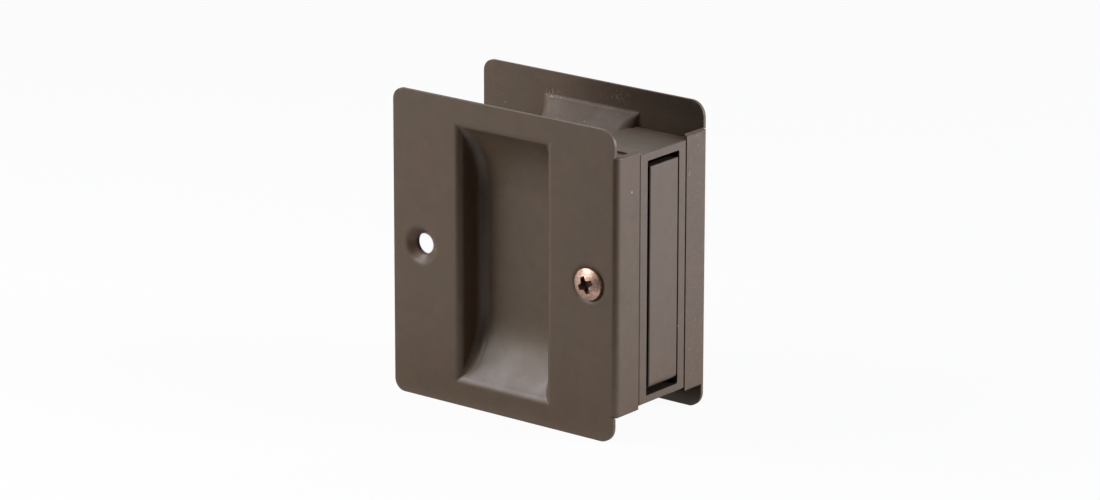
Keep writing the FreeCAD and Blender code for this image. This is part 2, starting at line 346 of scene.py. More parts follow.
# %% [markdown]
# Each face plate is one stamping of 0.9 mm sheet, and a press pushes the finger cup into it. A box with
# bevels would miss the scooped ends and the rolled rims, so the press tool is drawn first, from straight
# lines and arcs, as on a toolmaker's drawing. The back of the sheet is the same line, one thickness
# further in.

# %% Lines and arcs
import numpy as np

sheet = 0.9


def arc(centre, radius, start, end, steps):
    """Points round a centre, as (along, depth), with angles in degrees from straight down."""
    angles = [math.radians(start + (end - start) * i / steps) for i in range(steps + 1)]
    return [(centre[0] + radius * math.sin(a), centre[1] + radius * math.cos(a)) for a in angles]


def even_steps(start, end, longest):
    """Places between two values, no further apart than the longest step."""
    return list(np.linspace(start, end, 2 + int(abs(end - start) / longest)))


def line_and_arcs(*runs):
    """Join runs of points, without the points that two runs share."""
    joined = list(runs[0])
    for run in runs[1:]:
        joined += run[1:]
    return joined


def running_length(points):
    """The length of a line of points from its first point to each one."""
    steps = np.linalg.norm(np.diff(np.array(points), axis=0), axis=1)
    return np.concatenate([[0.0], np.cumsum(steps)])


def back_of(points, lengths):
    """The line on the other face of the sheet, one thickness away from every point."""
    way = np.gradient(np.array(points), lengths, axis=0)
    way /= np.linalg.norm(way, axis=1)[:, None]
    return np.array(points) + sheet * np.column_stack([-way[:, 1], way[:, 0]])


print("lines and arcs for sheet of", sheet, "mm")

# %% [markdown]
# This cut runs along the cup, from its middle to one end: a flat floor, a long scoop for the fingertips and
# a small roll onto the plate. The scoop could be a spline that is pulled by eye, but two arcs that touch
# are easier to measure, and a right-angled triangle gives the place where they meet.

# %% The cut along the cup
cup_depth = 8.6
scoop_radius, scoop_start = 22.0, 15.65
end_roll = 2.2
along_step, scoop_steps, end_steps = 2.6, 26, 10

scoop_top = cup_depth - scoop_radius
roll_reach = math.sqrt((scoop_radius + end_roll) ** 2 - (end_roll - scoop_top) ** 2)
scoop_angle = math.degrees(math.asin(roll_reach / (scoop_radius + end_roll)))
along_cup = line_and_arcs(
    [(z, cup_depth) for z in even_steps(0, scoop_start, along_step)],
    arc((scoop_start, scoop_top), scoop_radius, 0, scoop_angle, scoop_steps),
    arc((scoop_start + roll_reach, end_roll), end_roll, 180 + scoop_angle, 180, end_steps),
)
along_length = running_length(along_cup)
along_faces = np.array(along_cup), back_of(along_cup, along_length)
print("along the cup:", len(along_cup), "points, scoop ends at", round(scoop_angle, 1), "degrees")

# %% [markdown]
# Across the cup the wall stands upright between two rolls, one at the foot and one at the rim. Where a
# scoop makes the cup shallower the sheet cannot turn so far, so both rolls turn less and the wall leans
# over and fades out. Cutting one outline with the other would leave a crease there. So each point keeps
# its share of the floor, of the two turns and of the wall, and these shares work at any depth.

# %% The cut across the cup
cup_x = -0.45
cup_wall = 13.5
rim_roll, foot_roll = 2.0, 2.7
floor_step, wall_step, roll_steps = 2.2, 0.7, 10

floor_places = even_steps(0, cup_wall - foot_roll, floor_step)
wall_places = even_steps(cup_depth - foot_roll, rim_roll, wall_step)
across_cup = line_and_arcs(
    [(x, cup_depth) for x in floor_places],
    arc((cup_wall - foot_roll, cup_depth - foot_roll), foot_roll, 0, 90, roll_steps),
    [(cup_wall, depth) for depth in wall_places],
    arc((cup_wall + rim_roll, rim_roll), rim_roll, 270, 180, roll_steps),
)
across_length = running_length(across_cup)
cup_rim_x = across_cup[-1][0]

floor_count, wall_count = len(floor_places), len(wall_places) - 1
roll_shares = [i / roll_steps for i in range(1, roll_steps + 1)]
wall_shares = [i / wall_count for i in range(1, wall_count + 1)]
floor_share = [x / floor_places[-1] for x in floor_places] + [1.0] * (2 * roll_steps + wall_count)
foot_turn = [0.0] * floor_count + roll_shares + [1.0] * (wall_count + roll_steps)
wall_climb = [0.0] * (floor_count + roll_steps) + wall_shares + [1.0] * roll_steps
rim_turn = [1.0] * (floor_count + roll_steps + wall_count) + [1 - share for share in roll_shares]
print("across the cup:", len(across_cup), "points, sheet", round(across_length[-1], 2), "mm long")

# %% [markdown]
# The blank is the plate before it is pressed. It has round corners, and a tab on the right that becomes
# the flange, with a small relief cut at each end of the fold. It could be drawn at its finished size and
# stretched, but a real blank is larger where the cup will take up sheet, so its outline allows for that.

# %% The flat blank
plate_half = 39.7
plate_left, plate_right = -35.375, 34.475
left_corner, right_corner = 3.1, 4.0
corner_steps = 10
flange_half = 32.8
flange_length = 8.9
flange_face = 35.375
relief = 0.08
bend_radius = 1.8
bend_start = flange_face - bend_radius
bend_steps = 8
tab_depths = 1.5, 3.5, flange_length - bend_radius
cup_stretch = across_length[-1] - cup_rim_x
cup_rim_z = along_cup[-1][0]
end_stretch = along_length[-1] - cup_rim_z


def flat_x(x):
    """Where a point of the plate beside the cup lies on the blank."""
    return x - cup_x + math.copysign(cup_stretch, x - cup_x)


def flat_z(z):
    """Where a point of the plate above or below the cup lies on the blank."""
    return z + math.copysign(end_stretch, z) if abs(z) >= cup_rim_z else z


def flat_up(z):
    """Where a height beside the cup lies on the lines that run along it."""
    return np.interp(z, [p[0] for p in along_cup], along_length)


def round_corner(x, z, x_side, radius):
    """A round upper corner of the blank, as points from its upright edge to its level edge."""
    turns = [math.pi / 2 * i / corner_steps for i in range(corner_steps + 1)]
    inset = [(1 - math.cos(t), 1 - math.sin(t)) for t in turns]
    return [(flat_x(x) - x_side * radius * i, flat_z(z) - radius * j) for i, j in inset]


fold = flat_x(bend_start)
fold_steps = [bend_radius * math.pi / 2 * i / bend_steps for i in range(bend_steps + 1)]
tab_steps = fold_steps + [fold_steps[-1] + depth for depth in tab_depths]
tab_half, slot_half = flat_up(flange_half), flat_up(flange_half + relief)
upper = round_corner(plate_left, plate_half, -1, left_corner)
upper += round_corner(plate_right, plate_half, 1, right_corner)[::-1]
upper += [(flat_x(plate_right), slot_half), (fold, slot_half)]
upper += [(fold + step, tab_half) for step in tab_steps]
outline = upper + [(x, -z) for x, z in reversed(upper)]
print("blank outline", len(outline), "points, tab", round(tab_steps[-1], 2), "mm long")

# %% [markdown]
# The points of the sheet must lie on the blank and must not crowd its edge. Blender could find that out by
# casting rays at a mesh, but there is no mesh yet, so two short tests work on the outline itself. One
# counts the sides that lie to the right of a point, and the other finds the nearest side.

# %% Tests for points


def inside(points, loop):
    """True for each point that lies within a closed loop, by counting the sides it crosses."""
    x, z = points[:, :1], points[:, 1:]
    a, b = np.array(loop), np.roll(np.array(loop), -1, axis=0)
    spans = (a[:, 1] > z) != (b[:, 1] > z)
    rise = np.where(b[:, 1] == a[:, 1], 1.0, b[:, 1] - a[:, 1])
    return (spans & (x < a[:, 0] + (z - a[:, 1]) * (b[:, 0] - a[:, 0]) / rise)).sum(1) % 2 == 1


def distance_to(points, loop):
    """How far each point is from the nearest side of a closed loop."""
    a, b = np.array(loop), np.roll(np.array(loop), -1, axis=0)
    side = b - a
    away = points[:, None] - a
    share = np.clip((away * side).sum(2) / (side * side).sum(1), 0, 1)
    return np.linalg.norm(away - share[..., None] * side, axis=2).min(1)


origin = np.zeros((1, 2))
room = round(distance_to(origin, outline)[0], 1)
print("middle of the blank inside:", inside(origin, outline)[0], "with", room, "mm of room")

# %% [markdown]
# The sheet can only bend where it has points. An even grid fine enough for the rolls would be heavy, so
# the points lie on the lines of the press tool, closer together where the sheet will curve, and in rings
# round the two screw holes. Points too close to the outline are left out, to keep the triangles well shaped.

# %% Points on the blank
screw_x = 26.65
hole_radius = 2.6
dimple_rings = [6.2, 5.7, 5.3, 4.95, 4.6, 4.2, 3.7, 3.1, hole_radius, 2.2]
ring_points = 56
column_step, row_step = 2.4, 1.6
edge_room, ring_room = 0.3, 0.5


def ring(x, radius):
    """A ring of points round a hole of the blank."""
    turns = [2 * math.pi * i / ring_points for i in range(ring_points)]
    return [(flat_x(x) + radius * math.cos(t), radius * math.sin(t)) for t in turns]


def both_ways(places):
    """Places and their mirror images."""
    return {*places, *(-np.array(places))}


beside_cup = even_steps(across_length[-1], flat_x(bend_start), column_step)[1:]
beyond_cup = even_steps(along_length[-1], flat_z(plate_half), row_step)[1:]
columns = sorted(both_ways(across_length) | both_ways(beside_cup) | {*(fold + np.array(tab_steps))})
rows = sorted(both_ways(along_length) | both_ways(beyond_cup))
grid = np.array([(x, z) for x in columns for z in rows])
keep = inside(grid, outline) & (distance_to(grid, outline) > edge_room)
for x in (-screw_x, screw_x):
    keep &= np.hypot(grid[:, 0] - flat_x(x), grid[:, 1]) > dimple_rings[0] + ring_room
print("grid", len(columns), "by", len(rows), "lines,", keep.sum(), "points kept")

# %% [markdown]
# Now the points are joined into triangles, as a net that the press can shape. Filling the outline with one
# large face would let Blender choose long thin triangles, so a Delaunay triangulation does it. The outline
# and the two holes are sides that it has to keep, and what falls outside them is thrown away.

# %% Join the points of the blank
from mathutils.geometry import delaunay_2d_cdt

join_distance = 1e-6
holes = [ring(x, dimple_rings[-1]) for x in (-screw_x, screw_x)]
points, sides = [], []
for loop in [outline, *holes]:
    first = len(points)
    points += loop
    sides += [(first + i, first + (i + 1) % len(loop)) for i in range(len(loop))]
for x in (-screw_x, screw_x):
    for radius in dimple_rings[:-1]:
        points += ring(x, radius)
points += [tuple(p) for p in grid[keep]]
joined = delaunay_2d_cdt([Vector(p) for p in points], sides, [], 0, join_distance)
blank_points = np.array([tuple(p) for p in joined[0]])
centres = np.array([blank_points[list(face)].mean(0) for face in joined[2]])
kept = inside(centres, outline) & ~inside(centres, holes[0]) & ~inside(centres, holes[1])
blank_faces = [tuple(face) for face, use in zip(joined[2], kept) if use]
print("blank", len(blank_points), "points and", len(blank_faces), "triangles")

# %% [markdown]
# At each height of the cup the floor has its own depth, and the wall there is two rolls and what is left
# between them. A Solidify modifier could add the thickness, but it tears at the cup's corners. So this
# function gives the show face and the back face alike: behind, the roll at the rim is tighter and the roll
# at the foot is wider, each by the thickness of the sheet.

# %% Roll the wall of the cup


def across_at(side_x, floor_depth, face):
    """How far out and how deep points lie on a cut across the cup, where its floor has this depth."""
    shares = floor_share, foot_turn, wall_climb, rim_turn
    share, foot, climb, rim = (np.interp(side_x, across_length, line) for line in shares)
    rolls = rim_roll + foot_roll
    pushed = floor_depth - face * sheet
    steepest = np.arccos(np.clip(1 - pushed / rolls, 0, 1))
    rim_radius, foot_radius = rim_roll - face * sheet, foot_roll + face * sheet
    foot_start = cup_rim_x - rolls * np.sin(steepest)
    low_x = share * foot_start + foot_radius * np.sin(foot * steepest)
    low_depth = floor_depth - foot_radius * (1 - np.cos(foot * steepest))
    low_depth = low_depth - climb * np.maximum(pushed - rolls, 0)
    rim_x = cup_rim_x - rim_radius * np.sin(rim * steepest)
    rim_depth = rim_roll - rim_radius * np.cos(rim * steepest)
    return np.where(rim < 1, rim_x, low_x), np.where(rim < 1, rim_depth, low_depth)


for depth in (cup_depth, cup_depth / 2):
    foot_x = across_at(across_length[floor_count - 1:floor_count], depth, 0)[0][0]
    print("where the cup is", depth, "mm deep, its floor ends", round(foot_x, 2), "mm out")

# %% [markdown]
# Round each hole the sheet is dimpled into a cone, so that an oval head can sit in it. A Boolean could
# countersink the hole, but sheet this thin is pressed and not cut, so the points near the hole slide down
# the cone instead. The lip of the cone is eased, because pressed sheet never turns sharply.

# %% Dimple the screw holes
dimple_radius = 4.7
dimple_softness = 1.3
dimple_half_angle = 50
dimple_slope = 1 / math.tan(math.radians(dimple_half_angle))
hole_land, hole_lip, hole_slack = 0.2, 0.2, 0.01


def dimple_at(out, face):
    """How far from the hole's axis and how deep a dimple takes points that lie this far out."""
    reach = np.maximum(out, hole_radius)
    cone = (dimple_radius - reach) * dimple_slope
    ease = np.clip(cone / dimple_softness + 0.5, 0, 1)
    depth = np.where(cone > dimple_softness / 2, cone, ease ** 2 * dimple_softness / 2)
    lean = ease * dimple_slope / np.hypot(1, ease * dimple_slope)
    in_hole = out < hole_radius - hole_slack
    reach = reach + face * np.where(in_hole, hole_lip, sheet * lean)
    thinner = np.where(in_hole, 0, sheet * np.sqrt(1 - lean ** 2) - sheet)
    return reach, depth + np.where(in_hole, hole_land, 0) + face * thinner


dimple_depth = dimple_at(np.array([hole_radius]), 0)[1][0]
print("dimple", round(dimple_depth, 2), "mm deep at its hole")

# %% [markdown]
# Pressing is a function from the blank to the finished sheet. Beside the cup the sheet stays flat, in the
# cup it takes the tool's depth, round each hole it is dimpled, and on the tab it follows the bend. The
# points could be moved one by one, but columns of numbers move all of them in one step.

# %% Press and fold
quarter_turn = math.pi / 2
hair = 1e-6


def pressed(points, face):
    """Where points of the blank go on the show face (0) or the back face (1): across, depth and up."""
    x, z = points[:, 0], points[:, 1]
    side_x, side_z = np.abs(x), np.abs(z)
    along_now, floor_depth = (np.interp(side_z, along_length, line) for line in along_faces[face].T)
    across_now, depth = across_at(side_x, floor_depth, face)
    place_x = cup_x + np.sign(x) * (across_now + np.maximum(side_x - across_length[-1], 0))
    place_z = np.sign(z) * (along_now + np.maximum(side_z - along_length[-1], 0))

    for hole_x in (-screw_x, screw_x):
        out = np.maximum(np.hypot(place_x - hole_x, place_z), hair)
        reach, deeper = dimple_at(out, face)
        near_hole = out < dimple_rings[0]
        place_x = np.where(near_hole, hole_x + (place_x - hole_x) * reach / out, place_x)
        place_z = np.where(near_hole, place_z * reach / out, place_z)
        depth = np.where(near_hole, depth + deeper, depth)

    on_tab = (x > fold - hair) & (side_z < (tab_half + slot_half) / 2)
    turn = np.clip((x - fold) / bend_radius, 0, quarter_turn)
    run = np.maximum(x - fold - bend_radius * quarter_turn, 0)
    fold_radius = bend_radius - face * sheet
    place_x = np.where(on_tab, bend_start + fold_radius * np.sin(turn), place_x)
    depth = np.where(on_tab, bend_radius - fold_radius * np.cos(turn) + run, depth)
    return np.column_stack([place_x, depth, place_z])


pressed_faces = [pressed(blank_points, face) for face in (0, 1)]
print("pressed, show face and back face reach", [round(p[:, 1].max(), 2) for p in pressed_faces], "mm deep")

# %% [markdown]
# Both plates are the same stamping, one turned over to face the other side of the door. The show face, the
# back face and a strip along every open edge make one closed skin. Sheared and painted edges are never
# sharp, so a small Bevel rounds them, and weighted normals keep the flat faces flat beside it. A rounded
# edge could be left to the shader, but then the exported mesh would not have it.

# %% The two plates
front_face = -18.4
plate_middle = 39.7
edge_round, edge_angle = 0.14, 50
merge_distance = 0.004


def soften_edges(piece, width, angle, segments=2):
    """A small round on every sharp edge, and normals that keep the flat faces flat."""
    soften = piece.modifiers.new("edges", "BEVEL")
    soften.width = width * mm
    soften.segments = segments
    soften.limit_method = "ANGLE"
    soften.angle_limit = math.radians(angle)
    even = piece.modifiers.new("even", "WEIGHTED_NORMAL")
    even.keep_sharp = True


def face_plate(name, node, side, paint):
    """A pressed plate, with its cup opening to the front for side 1 or to the rear for side -1."""
    corners = [(x * mm, side * (front_face + depth) * mm, (plate_middle + side * z) * mm)
               for x, depth, z in np.concatenate(pressed_faces)]
    count = len(blank_points)
    faces = list(blank_faces) + [tuple(i + count for i in reversed(face)) for face in blank_faces]
    ways = {(face[i], face[i - 2]) for face in blank_faces for i in range(3)}
    faces += [(b, a, a + count, b + count) for a, b in ways if (b, a) not in ways]
    mesh = bpy.data.meshes.new(name)
    mesh.from_pydata(corners, [], faces)
    form = bmesh.new()
    form.from_mesh(mesh)
    bmesh.ops.remove_doubles(form, verts=form.verts, dist=merge_distance * mm)
    form.to_mesh(mesh)
    form.free()
    mesh.shade_smooth()
    plate = add_to_scene(name, mesh)
    soften_edges(plate, edge_round, edge_angle)
    mesh.materials.append(paint)
    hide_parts(node)
    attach(plate, "frame")
    print("plate", name, len(mesh.vertices), "points,", len(mesh.polygons), "faces")


face_plate("front_pressed_plate", "front_plate", 1, sheet_paint)
face_plate("rear_pressed_plate", "rear_plate", -1, rubbed_sheet_paint)

# %% [markdown]
# The screws are number 8 oval heads: a dome, a short rim, a cone that sits in the dimple and a threaded
# shank. A screw from a library would do for most things, but this head has to fit its dimple, so the
# outline is worked out from the cone that the head sits in.

# %% Outline of a screw
head_radius, head_rim, dome_height = 4.05, 1.0, 1.25
shank_radius, screw_length = 2.05, 8.4
thread_pitch, thread_depth, thread_step = 0.8, 0.3, 0.1
seat_play = 0.05
rim_y = front_face + (dimple_radius - head_radius) * dimple_slope - seat_play
dome_y = rim_y - head_rim
apex_y = dome_y - dome_height
neck_y = rim_y + (head_radius - shank_radius) * dimple_slope
tip_y = rim_y + screw_length
dome_radius = (head_radius ** 2 + dome_height ** 2) / (2 * dome_height)
dome_steps = 18
thread_start, thread_end = neck_y + 0.15, tip_y - 1.0
point_y, point_inset = tip_y - 0.8, 0.2


def screw_profile():
    """Rings of the screw from apex to tip: radius, place along the axis, and how much is thread."""
    lean = math.asin(head_radius / dome_radius)
    leans = [lean * i / dome_steps for i in range(1, dome_steps + 1)]
    rings = [(dome_radius * math.sin(a), apex_y + dome_radius * (1 - math.cos(a)), 0) for a in leans]
    rings += [(head_radius, dome_y + head_rim / 2, 0), (head_radius, rim_y, 0), (shank_radius, neck_y, 0)]
    rings += [(shank_radius, y, 1) for y in np.arange(thread_start, thread_end, thread_step)]
    rings += [(shank_radius - point_inset, point_y, 0), (shank_radius / 2, tip_y, 0)]
    return rings


print("screw outline", len(screw_profile()), "rings over", round(tip_y - apex_y, 2), "mm")

# %% [markdown]
# A lathe spins that outline into a screw. A Screw modifier could do the same for a plain shape, but the
# thread changes with the turn, so the rings are laid out one by one, and the thread is a wave that climbs
# round the shank.

# %% Turn a screw
around = 96


def lathe_screw():
    """The corners and faces of the turned screw, round the axis of the right-hand hole."""
    corners, faces = [(screw_x, apex_y, 0)], []
    for radius, y, thread in screw_profile():
        for i in range(around):
            turn = i / around
            wave = abs(((y / thread_pitch - turn) % 1) - 0.5) * 2
            r = radius - thread * thread_depth * wave
            corners.append((screw_x + r * math.cos(2 * math.pi * turn), y, r * math.sin(2 * math.pi * turn)))
    last = len(corners) - around
    corners.append((screw_x, tip_y, 0))
    for i in range(around):
        j = (i + 1) % around
        faces.append((0, 1 + i, 1 + j))
        for first in range(1, last, around):
            faces.append((first + i, first + around + i, first + around + j, first + j))
        faces.append((last + i, len(corners) - 1, last + j))
    return corners, faces


def solid_from(name, corners, faces, material):
    """A closed solid from corners in millimetres, with its faces turned outwards."""
    mesh = bpy.data.meshes.new(name)
    mesh.from_pydata([(x * mm, y * mm, (plate_middle + z) * mm) for x, y, z in corners], [], faces)
    form = bmesh.new()
    form.from_mesh(mesh)
    bmesh.ops.recalc_face_normals(form, faces=form.faces)
    form.to_mesh(mesh)
    form.free()
    mesh.materials.append(material)
    return add_to_scene(name, mesh)


screw = solid_from("oval_head_screws", *lathe_screw(), copper_plate)
print("screw", len(screw.data.vertices), "points, head", head_radius * 2, "mm across")

# %% [markdown]
# A header forms the cross recess with a tapered punch of four arms. Four grooves could be modelled into the
# dome, but cutting with the punch's own shape is how it is really made. The Boolean gives the walls of the
# cut the punch's material, so the recess keeps its dark tarnish while the dome is buffed.

# %% Punch the cross recess
recess_turn = math.radians(27.0)
punch_levels = [  # place along the axis, arm's length, half its width, round of the inside corner
    (apex_y - 0.3, 2.85, 0.86, 0.4),
    (apex_y + 0.2, 2.45, 0.78, 0.4),
    (apex_y + 1.7, 0.85, 0.55, 0.15),
]
arm_taper = 0.8
corner_turns = [math.radians(270 - 90 * i / 5) for i in range(6)]
quarter_spins = ((1, 0), (0, 1), (-1, 0), (0, -1))


def cross_outline(length, half_width, corner):
    """A cross with round inside corners, as points round its outline."""
    arm = [(length, -half_width * arm_taper), (length, half_width * arm_taper)]
    middle_corner = half_width + corner
    for t in corner_turns:
        arm.append((middle_corner + corner * math.cos(t), middle_corner + corner * math.sin(t)))
    spin = [(x * c - z * s, x * s + z * c) for c, s in quarter_spins for x, z in arm]
    c, s = math.cos(recess_turn), math.sin(recess_turn)
    return [(x * c - z * s, x * s + z * c) for x, z in spin]


def recess_punch():
    """The corners and faces of the punch, from above the dome down into the head."""
    corners, faces = [], []
    for y, length, half_width, corner in punch_levels:
        corners += [(screw_x + x, y, z) for x, z in cross_outline(length, half_width, corner)]
    count = len(corners) // len(punch_levels)
    for first in (0, count):
        faces += [(first + i, first + (i + 1) % count, first + count + (i + 1) % count, first + count + i)
                  for i in range(count)]
    faces += [tuple(reversed(range(count))), tuple(range(2 * count, 3 * count))]
    return corners, faces


punch = solid_from("recess_punch", *recess_punch(), recess_tarnish)
cut = screw.modifiers.new("recess", "BOOLEAN")
cut.object = punch
cut.solver = "EXACT"
cut.material_mode = "TRANSFER"
bpy.context.view_layer.update()
cut_mesh = bpy.data.meshes.new_from_object(screw.evaluated_get(bpy.context.evaluated_depsgraph_get()))
screw.modifiers.clear()
bpy.data.objects.remove(punch)
print("recess cut,", len(cut_mesh.polygons), "faces, materials", [m.name for m in cut_mesh.materials])

# %% [markdown]
# The same screw holds the plate on the other side of the door. A second lathe and punch would only repeat
# the work, so the finished mesh is copied and turned half round the plates' middle line. Faces that meet at
# more than a shallow angle stay sharp, which keeps the recess crisp on a smooth dome.

# %% A screw on each side
crisp_angle = 35

form = bmesh.new()
form.from_mesh(cut_mesh)
turned = bmesh.ops.duplicate(form, geom=form.verts[:] + form.edges[:] + form.faces[:])["geom"]
to_rear = Matrix.Translation((0, 0, plate_middle * mm)) @ Matrix.Rotation(math.pi, 4, "X")
to_rear = to_rear @ Matrix.Translation((0, 0, -plate_middle * mm))
bmesh.ops.transform(form, matrix=to_rear, verts=[v for v in turned if isinstance(v, bmesh.types.BMVert)])
form.to_mesh(cut_mesh)
form.free()
screw.data = cut_mesh
cut_mesh.shade_smooth()
cut_mesh.set_sharp_from_angle(angle=math.radians(crisp_angle))
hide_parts("plate_screws")
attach(screw, "frame")
print("screws", len(cut_mesh.polygons), "faces on the two of them")

# %% [markdown]
# A torsion spring brings the pull back. One leg rests on the pull's heel and turns with it, the other on
# the pocket's floor and stays, and the coil between them winds up. The line of its wire could be drawn as
# a Bezier curve, but a helix with two straight legs is exact and short to write.

# %% Line of the spring
pin_x, pin_z = 31.575, 15.8
coil_radius = 1.8
coil_start, coil_end = -0.6125, 1.5125
coil_turn, coil_steps = 871.0, 132
moving_leg, fixed_leg = 3.4, 5.9
moving_steps, fixed_steps = 6, 8


def spring_line():
    """Points along the middle of the wire, from the moving leg's foot to the fixed leg's foot."""
    line = [(pin_x + coil_radius, coil_start, pin_z - moving_leg * (1 - i / moving_steps))
            for i in range(moving_steps)]
    for i in range(coil_steps + 1):
        turn = math.radians(coil_turn * i / coil_steps)
        y = coil_start + (coil_end - coil_start) * i / coil_steps
        line.append((pin_x + coil_radius * math.cos(turn), y, pin_z + coil_radius * math.sin(turn)))
    x, y, z = line[-1]
    turn = math.radians(coil_turn)
    for i in range(1, fixed_steps + 1):
        run = fixed_leg * i / fixed_steps
        line.append((x - math.sin(turn) * run, y, z + math.cos(turn) * run))
    return [Vector(p) * mm for p in line]


wire_line = spring_line()
wire_length = sum((b - a).length for a, b in zip(wire_line, wire_line[1:]))
print("spring line", len(wire_line), "points,", round(wire_length / mm, 1), "mm of wire")

# %% [markdown]
# The wire is a round tube along that line. A curve with a bevel could be the wire, but a ring of points at
# every step keeps the section round through every turn.

# %% Return spring
wire_radius, wire_sides = 0.25, 12
wire_crisp_angle = 50


def tube(name, line, radius, material):
    """A round tube along a line of points, closed at both ends."""
    form = bmesh.new()
    rings = []
    beside = Vector((0, 1, 0))
    turns = [2 * math.pi * k / wire_sides for k in range(wire_sides)]
    for i, point in enumerate(line):
        way = (line[min(i + 1, len(line) - 1)] - line[max(i - 1, 0)]).normalized()
        beside = (beside - way * beside.dot(way)).normalized()
        over = way.cross(beside)
        rim = [point + (beside * math.cos(t) + over * math.sin(t)) * radius for t in turns]
        rings.append([form.verts.new(place) for place in rim])
    for first, second in zip(rings, rings[1:]):
        for k in range(wire_sides):
            form.faces.new((first[k], first[k - 1], second[k - 1], second[k]))
    form.faces.new(rings[0])
    form.faces.new(reversed(rings[-1]))
    bmesh.ops.recalc_face_normals(form, faces=form.faces)
    mesh = bpy.data.meshes.new(name)
    form.to_mesh(mesh)
    form.free()
    mesh.shade_smooth()
    mesh.set_sharp_from_angle(angle=math.radians(wire_crisp_angle))
    mesh.materials.append(material)
    return add_to_scene(name, mesh)


spring = tube("torsion_spring", wire_line, wire_radius * mm, plain_steel)
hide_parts("return_spring")
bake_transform(spring)
print("spring", len(spring.data.polygons), "faces over", round(coil_turn / 360, 2), "turns")

# %% [markdown]
# The housing and the pull are castings. They could be modelled again with soft edges, but their CAD solids
# already have the right shape, so they are kept. Paint softens their edges a little more than a drawing
# shows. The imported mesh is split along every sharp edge, so a Weld joins it first, and a Bevel can then
# round the edges without touching the mesh itself.

# %% Housing and pull
weld_distance = 0.002
casting_angle = 40
for node_name, width in (("edge_housing", 0.12), ("edge_pull", 0.15)):
    casting = nodes[node_name]
    weld = casting.modifiers.new("weld", "WELD")
    weld.merge_threshold = weld_distance * mm
    soften_edges(casting, width, casting_angle)
    print("softened", node_name, len(casting.data.polygons), "faces by", width, "mm")

# %% [markdown]
# The object stands on white paper that looks evenly white in the picture. Strong lamps on the floor would
# do that, but they would wash out the object too. So the paper glows for the lens and for reflections, and
# a small part of its real shading stays in it to carry the shadow.

# %% Paper that glows
floor_shade = 0.055
paper_roughness = 0.8
white = (1, 1, 1, 1)


def seen_directly(add):
    """1 for rays from the camera, from a mirror-like surface or through glass, and 0 for stray light."""
    path = add("LightPath").outputs
    seen = add("Math", {0: path["Is Camera Ray"], 1: path["Is Glossy Ray"]}, operation="MAXIMUM").outputs[0]
    return add("Math", {0: seen, 1: path["Is Transmission Ray"]}, operation="MAXIMUM").outputs[0]


def studio_paper(name, tone, glow):
    """Paper that a lens or a mirror sees glow evenly, with a little of its real shade left in."""
    paper, shader, links, add = new_finish(name)
    shader.inputs["Base Color"].default_value = (tone, tone, tone, 1)
    shader.inputs["Roughness"].default_value = paper_roughness
    light = add("Emission", {"Color": white, "Strength": glow}).outputs[0]
    share = add("Math", {0: seen_directly(add), 1: 1 - floor_shade}, operation="MULTIPLY").outputs[0]
    both = add("MixShader", {0: share, 1: shader.outputs[0], 2: light}).outputs[0]
    output = next(n for n in paper.node_tree.nodes if n.type == "OUTPUT_MATERIAL")
    links.new(both, output.inputs["Surface"])
    print("paper", name, "tone", tone, "glow", glow)
    return paper


table_white = studio_paper("table_white", tone=0.82, glow=1.0)

# %% [markdown]
# The stage is made of flat sheets: the table, and the cards round the part. A plane from the Add menu would
# do for each, but a helper that takes the corners can say at the same time which kinds of rays pass
# through the sheet.

# %% White table
floor_half = 6.0


def stage_sheet(name, corners, faces, finish, unseen_by=()):
    """A flat piece of the stage, in metres. The kinds of rays in unseen_by pass through it."""
    mesh = bpy.data.meshes.new(name)
    mesh.from_pydata(corners, [], faces)
    mesh.materials.append(finish)
    piece = add_to_scene(name, mesh)
    for kind in unseen_by:
        setattr(piece, "visible_" + kind, False)
    piece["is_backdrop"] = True
    print("stage", name, len(faces), "faces, hidden from", list(unseen_by))


floor_corners = [(x * floor_half, y * floor_half, 0) for x, y in ((-1, -1), (1, -1), (1, 1), (-1, 1))]
stage_sheet("table_top", floor_corners, [(0, 1, 2, 3)], table_white)

# %% [markdown]
# Three soft boxes light the part: one from the left, one high up that shines into the cup's lower scoop,
# and a large cool one on the right for the edge. A lamp's place is given as a direction seen from the
# object, in the same way as the camera's, which is easier to think about than three coordinates.

# %% Soft boxes
soft_boxes = {  # azimuth and elevation in degrees, distance and size in metres, tint, watts
    "left_box": (-30, 25, 0.5, 0.25, (1.0, 1.0, 1.0), 1.08),
    "high_box": (-59, 43, 0.5, 0.23, (0.98, 0.98, 1.05), 1.20),
    "right_box": (115, 15, 0.9, 0.5, (0.91, 0.985, 1.19), 10.1),
}
for box_name, (azimuth, elevation, distance, size, tint, watts) in soft_boxes.items():
    way = way_to(math.radians(azimuth), math.radians(elevation))
    box_data = bpy.data.lights.new(box_name, "AREA")
    box_data.shape = "DISK"
    box_data.size = size
    box_data.color = tint
    box_data.energy = watts
    soft_box = add_to_scene(box_name, box_data)
    facing = way.to_track_quat("Z", "Y").to_matrix().to_4x4()
    soft_box.matrix_world = Matrix.Translation(middle + way * distance) @ facing
    print("lamp", box_name, "at", azimuth, elevation, "degrees,", watts, "W")

# %% [markdown]
# Satin paint mirrors its surroundings, and an all-white room would make it chalky. Photographers stand
# black cards round such a part to keep it dark. Here one card lies on the table and rises at its far side,
# and a small one under the part is painted shade, standing for the part's shadow on the table there. The
# camera does not see them, and they cast no shadow.

# %% Black cards
card_lift, card_height = 0.0005, 0.5
card_near = [(0.0, -0.11), (0.13, -0.05)]
card_far = [(0.76, -0.25), (0.52, -0.61), (0.234, -0.765), (-0.166, -0.782)]
# painted shade: a black card under the part, where its shadow lies on the table
shade_under_part = [(-0.034, -0.0165), (0.034, -0.0165), (0.046, 0.0135), (-0.034, 0.0135)]
cloth_tone, cloth_roughness = 0.015, 0.9

